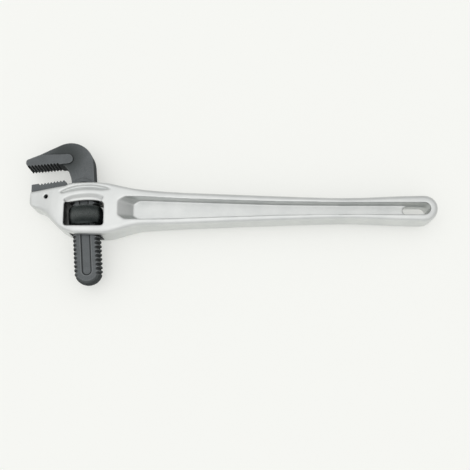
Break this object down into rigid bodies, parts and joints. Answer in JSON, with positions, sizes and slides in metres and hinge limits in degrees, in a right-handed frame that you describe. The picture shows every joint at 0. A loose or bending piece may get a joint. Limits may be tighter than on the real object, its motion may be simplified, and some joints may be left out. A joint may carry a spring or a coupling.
{
  "type": "offset pipe wrench",
  "caption": "Offset pipe wrench with a cast aluminium I-beam handle, a screw-adjusted forged hook jaw and a toothed heel jaw that open beside the handle.",
  "frame": {"origin": "bottom centre of the wrench's box as it lies on its side at rest", "axes": "+X along the handle from the head to the hang slot, +Y the way the hook jaw opens, +Z through the wrench's thickness"},
  "size_m": [0.4568, 0.1616, 0.0392],
  "materials": {
    "cast_aluminium": "fine blasted casting, satin silver grey",
    "forged_steel": "forged and phosphated, satin slate grey",
    "blackened_steel": "knurled or rolled, blackened and oiled",
    "spring_steel": "bare spring steel"
  },
  "bodies": {
    "handle": {"handle_casting": "cast_aluminium", "heel_jaw": "forged_steel", "heel_jaw_pin": "blackened_steel", "spring_rivet": "spring_steel", "coil_spring": "spring_steel"},
    "jaw_rocker": {"flat_spring": "spring_steel"},
    "hook_jaw": {"hook_jaw": "forged_steel"},
    "adjusting_nut": {"adjusting_nut": "blackened_steel"}
  },
  "joints": [
    {"name": "jaw_rock", "type": "hinge", "parent": "handle", "child": "jaw_rocker", "pos_m": [-0.16138, -0.004, 0.0196], "axis": [0, 0, 1], "range_deg": [-4, 1], "stiffness_Nm_per_rad": 6, "deforming": ["flat_spring", "coil_spring"]},
    {"name": "nut_spin", "type": "hinge", "parent": "jaw_rocker", "child": "adjusting_nut", "pos_m": [-0.16138, -0.004, 0.0196], "axis": [-0.0785, 0.9969, 0], "range_deg": [-3744, 1080]},
    {"name": "jaw_travel", "type": "slide", "parent": "jaw_rocker", "child": "hook_jaw", "axis": [-0.0785, 0.9969, 0], "range_m": [-0.0144, 0.0499]}
  ],
  "couplings": [
    {"joint": "nut_spin", "follows": "jaw_travel", "rad_per_m": -1309}
  ]
}
